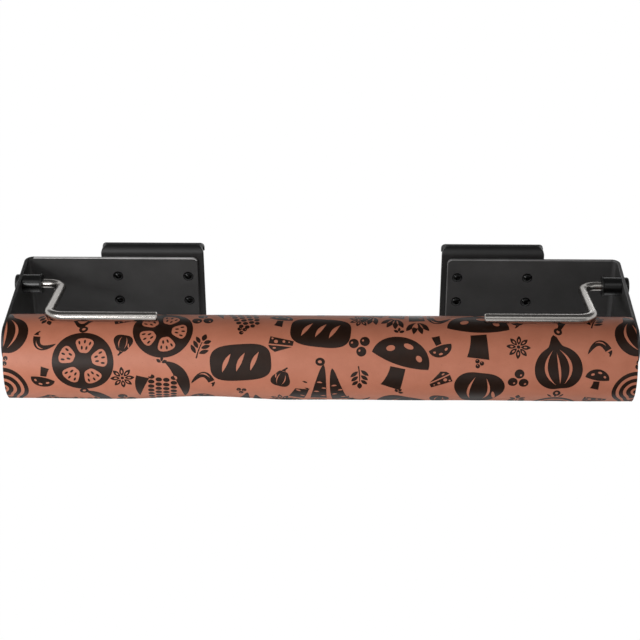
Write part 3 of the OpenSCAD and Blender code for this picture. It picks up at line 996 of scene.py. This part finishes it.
def makePrintTree():
    tree, inside, outside = newTree("printLayout", {
        "Motifs": "Collection", "Columns": "Int", "Rows": "Int", "Column Step": "Float", "Row Step": "Float",
        "Stagger": "Float", "Shift": "Vector", "Size": "Float", "Size Spread": "Float", "Lean": "Float",
        "Drift": "Float", "Count": "Int", "Seed": "Int", "Ink": "Material"})
    pin = inside.outputs

    def reckon(operation, *terms):
        return mathNode(tree, operation, *terms)

    def reach(count, step):
        return reckon("MULTIPLY", reckon("SUBTRACT", pin[count], 1), pin[step])

    def chance(low, high, offset):
        made = addNode(tree, "FunctionNodeRandomValue", {"Seed": reckon("ADD", pin["Seed"], offset)},
                       data_type="FLOAT")
        for socket, term in zip([s for s in made.inputs if s.enabled], (low, high)):
            tree.links.new(term, socket)
        return [s for s in made.outputs if s.enabled][0]

    def eitherWay(term, offset):
        return chance(reckon("MULTIPLY", term, -1), term, offset)

    grid = addNode(tree, "GeometryNodeMeshGrid", {
        "Size X": reach("Columns", "Column Step"), "Size Y": reach("Rows", "Row Step"),
        "Vertices X": pin["Columns"], "Vertices Y": pin["Rows"]})
    index = addNode(tree, "GeometryNodeInputIndex").outputs[0]
    column = reckon("FLOOR", reckon("DIVIDE", index, pin["Rows"]))
    row = reckon("MODULO", index, pin["Rows"])
    share = reckon("MULTIPLY", reckon("MODULO", column, 2), pin["Stagger"])
    stagger = reckon("MULTIPLY", share, pin["Row Step"])
    stray = addNode(tree, "ShaderNodeCombineXYZ", {
        "X": eitherWay(pin["Drift"], 1), "Y": reckon("ADD", stagger, eitherWay(pin["Drift"], 2))}).outputs[0]
    shift = addNode(tree, "ShaderNodeVectorMath", {0: stray, 1: pin["Shift"]}, operation="ADD").outputs[0]
    points = addNode(tree, "GeometryNodeSetPosition", {
        "Geometry": grid.outputs[0], "Offset": shift}).outputs[0]
    motifs = addNode(tree, "GeometryNodeCollectionInfo", {
        "Collection": pin["Motifs"], "Separate Children": True, "Reset Children": True}).outputs[0]
    pick = reckon("MULTIPLY_ADD", column, printDesign["columnPick"],
                  reckon("MULTIPLY", row, printDesign["rowPick"]))
    half = reckon("MULTIPLY", reckon("MODULO", reckon("ADD", column, row), 2), pi)
    lean = reckon("ADD", half, eitherWay(pin["Lean"], 3))
    turn = addNode(tree, "ShaderNodeCombineXYZ", {"Z": lean}).outputs[0]
    least, most = (reckon(operation, 1, pin["Size Spread"]) for operation in ("SUBTRACT", "ADD"))
    stamp = addNode(tree, "GeometryNodeInstanceOnPoints", {
        "Points": points, "Instance": motifs, "Pick Instance": True, "Rotation": turn,
        "Instance Index": reckon("MODULO", pick, pin["Count"]),
        "Scale": reckon("MULTIPLY", pin["Size"], chance(least, most, 4))})
    endTree(tree, stamp.outputs[0], pin["Ink"], outside)
    return tree


def printMesh(tree, kind, seed):
    part = printDesign[kind]
    rows, step = part["rows"], printDesign["rowStep"]
    rowStep = step / part["perStep"]
    shift = (0, printDesign["firstRow"] + part["shift"] * step + (rows - 1) / 2 * rowStep, 0)
    return bakeTree("print" + kind.capitalize(), bpy.data.meshes.new("start"), tree, {
        "Motifs": motifCollection("motifs" + kind.capitalize(), part["motifs"]),
        "Columns": part["columns"], "Rows": rows, "Row Step": rowStep,
        "Column Step": printDesign["columnStep"],
        "Stagger": 0.5 if part["perStep"] == 1 else 0.0, "Shift": shift, "Size": part["size"],
        "Size Spread": printDesign["sizeSpread"], "Lean": part["lean"], "Drift": printDesign["drift"],
        "Count": len(part["motifs"]), "Seed": seed, "Ink": inkBlack})


def makePrint():
    tree = makePrintTree()
    bm = bmesh.new()
    for number, kind in enumerate(("large", "medium", "small")):
        bm.from_mesh(printMesh(tree, kind, printDesign["seed"] + number))
    length = outerTurn["turns"] * rollRadius - printDesign["endMargin"]
    stripRound, stripAcross = printDesign["stripRound"], printDesign["stripAcross"]
    cutAt(bm, (0, 0, 0), (0, 1, 0), clear_inner=True)
    cutAt(bm, (0, length, 0), (0, 1, 0), clear_outer=True)
    cutAt(bm, (-halfWidth, 0, 0), (1, 0, 0), clear_inner=True)
    cutAt(bm, (halfWidth, 0, 0), (1, 0, 0), clear_outer=True)
    for i in range(1, int(length / stripRound) + 1):
        cutAt(bm, (0, i * stripRound, 0), (0, 1, 0))
    for i in range(1, int(2 * halfWidth / stripAcross) + 1):
        cutAt(bm, (i * stripAcross - halfWidth, 0, 0), (1, 0, 0))
    for vert in bm.verts:
        x, turn = vert.co.x, vert.co.y / rollRadius
        vert.co = onRoll(x, roll["cutAngle"] + turn, sheetRadius(x, turn) + printDesign["lift"])
    smoothFaces(bm)
    for face in bm.faces:
        face.normal_update()
        outward = face.calc_center_median() - rollAxis
        if face.normal.dot(Vector((0, outward.y, outward.z))) < 0:
            face.normal_flip()
    print("print faces:", len(bm.faces))
    linkPiece("paperPrint", meshFrom("paperPrint", bm, inkBlack), "roll", "paper")


makePrint()
print("print ready")


# Studio: camera, lamps, floor

view = {
    "elevation": 32.0, "distance": 1.218, "focalPixels": 1650, "imageSize": 640,
    "centreColumn": 342.0, "rollColumn": 320.6, "rollRow": 358.0, "tilt": 0.3,
    "sensorWidth": 36, "clipStart": 0.01,
}
studio = {
    "floorDrop": 0.55, "floorSize": 14.0, "floorTone": (0.92, 0.92, 0.92, 1), "floorGlow": 0.98,
    "floorStrength": 1.02, "world": 0.05, "aim": (0, -0.08, -0.02),
    "lamps": {
        "keyLamp": {"place": (-0.55, -1.02, 0.34), "size": 0.45, "power": 5.6},
        "sideLamp": {"place": (-1.05, -0.90, 0.60), "size": 0.2, "power": 5.6},
        "topLamp": {"place": (-0.10, -0.75, 0.95), "size": 0.4, "power": 0.6},
        "fillLamp": {"place": (0.0, -1.2, -0.14), "size": 0.6, "power": 1.4},
        "rearLamp": {"place": (0.40, 1.10, -0.28), "size": 0.6, "power": 1.8},
    },
    "flags": {  # grey boards that only reflections show, or that shade too
        "topFlag": {"low": (-1.4, -0.30, 0.60), "high": (1.4, 0.95, 0.60), "glow": 0.11, "shades": True},
        "backFlag": {"low": (-1.4, 0.95, 0.38), "high": (1.4, 0.95, 0.60), "glow": 0.11, "shades": True},
        "frontFlag": {"low": (-0.06, -1.6, -0.545), "high": (1.3, -0.25, -0.545),
                      "glow": 0.11, "shades": False},
        "sideFlag": {"low": (-1.6, -1.6, -0.545), "high": (-0.33, -0.25, -0.545),
                     "glow": 0.25, "shades": False},
        "roomFlag": {"low": (-2.6, -1.9, -0.54), "high": (2.6, -1.9, 1.7), "glow": 0.36, "shades": False},
        "rearFlag": {"low": (-0.9, 0.06, -0.545), "high": (0.9, 1.8, -0.545), "glow": 0.11, "shades": True},
    },
}


def makeCamera():
    data = bpy.data.cameras.new("camera")
    camera = addObject("camera", data)
    scene.camera = camera
    half = view["imageSize"] / 2
    data.sensor_width = view["sensorWidth"]
    data.lens = view["focalPixels"] * data.sensor_width / view["imageSize"]
    data.shift_x = (half - view["centreColumn"]) / view["imageSize"]
    angle = radians(view["elevation"])
    ahead = Vector((0, cos(angle), -sin(angle)))
    above = Vector((0, sin(angle), cos(angle)))
    lift = (view["rollRow"] - half) * view["distance"] / view["focalPixels"]
    pixel = (view["distance"] - rollRadius) / view["focalPixels"]  # its size at the roll's front
    aside = Vector(((view["centreColumn"] - view["rollColumn"]) * pixel, 0, 0))
    turn = Matrix.Rotation(pi / 2 - angle, 4, "X") @ Matrix.Rotation(radians(view["tilt"]), 4, "Z")
    place = rollAxis - ahead * view["distance"] + above * lift + aside
    camera.matrix_world = Matrix.Translation(place) @ turn
    data.clip_start = view["clipStart"]


def addLamp(name, lamp):
    data = bpy.data.lights.new(name, "AREA")
    data.shape = "SQUARE"
    data.size = lamp["size"]
    data.energy = lamp["power"]
    made = addObject(name, data)
    made.location = lamp["place"]
    made.rotation_euler = (Vector(studio["aim"]) - made.location).to_track_quat("-Z", "Y").to_euler()


def seenShare(tree):
    rays = addNode(tree, "ShaderNodeLightPath").outputs
    direct = mathNode(tree, "MAXIMUM", rays["Is Camera Ray"], rays["Is Glossy Ray"])
    return mathNode(tree, "MAXIMUM", direct, rays["Is Transmission Ray"])


def makeWorld():
    world = bpy.data.worlds.new("studioWorld")
    scene.world = world
    world.use_nodes = True
    tree = world.node_tree
    light = tree.nodes["Background"]
    light.inputs["Color"].default_value = (1, 1, 1, 1)
    tree.links.new(spread(tree, seenShare(tree), studio["world"], 1.0), light.inputs["Strength"])


def stageMaterial(name, strength):
    material = bpy.data.materials.new(name)
    material.use_nodes = True
    tree = material.node_tree
    tree.nodes.remove(tree.nodes["Principled BSDF"])
    glow = addNode(tree, "ShaderNodeEmission", {"Color": (1, 1, 1, 1), "Strength": strength}).outputs[0]
    surface = tree.nodes["Material Output"].inputs["Surface"]
    tree.links.new(glow, surface)
    return material, tree, glow, surface


def makeFloor():
    bm = bmesh.new()
    bmesh.ops.create_grid(bm, x_segments=1, y_segments=1, size=studio["floorSize"] / 2)
    material, tree, glow, surface = stageMaterial("floorWhite", studio["floorStrength"])
    matte = addNode(tree, "ShaderNodeBsdfDiffuse", {"Color": studio["floorTone"]}).outputs[0]
    share = spread(tree, seenShare(tree), 0.0, studio["floorGlow"])
    mix = addNode(tree, "ShaderNodeMixShader", {0: share, 1: matte, 2: glow}).outputs[0]
    tree.links.new(mix, surface)
    mesh = meshFrom("floor", bm, material)
    mesh.transform(Matrix.Translation((0, 0, -studio["floorDrop"])))
    addObject("floor", mesh)


def addFlag(name, flag):
    material = stageMaterial(name + "Grey", flag["glow"])[0]
    bm = bmesh.new()
    (x0, y0, z0), (x1, y1, z1) = flag["low"], flag["high"]
    bm.faces.new([bm.verts.new(p) for p in ((x0, y0, z0), (x1, y0, z0), (x1, y1, z1), (x0, y1, z1))])
    board = addObject(name, meshFrom(name, bm, material))
    board.visible_camera = False
    board.visible_diffuse = flag["shades"]  # the others leave the light on the paper as it is
    board.visible_shadow = flag["shades"]


makeCamera()
for lampName, lamp in studio["lamps"].items():
    addLamp(lampName, lamp)
makeWorld()
makeFloor()
for flagName, flag in studio["flags"].items():
    addFlag(flagName, flag)
scene.view_settings.view_transform = "Standard"
print("studio ready")
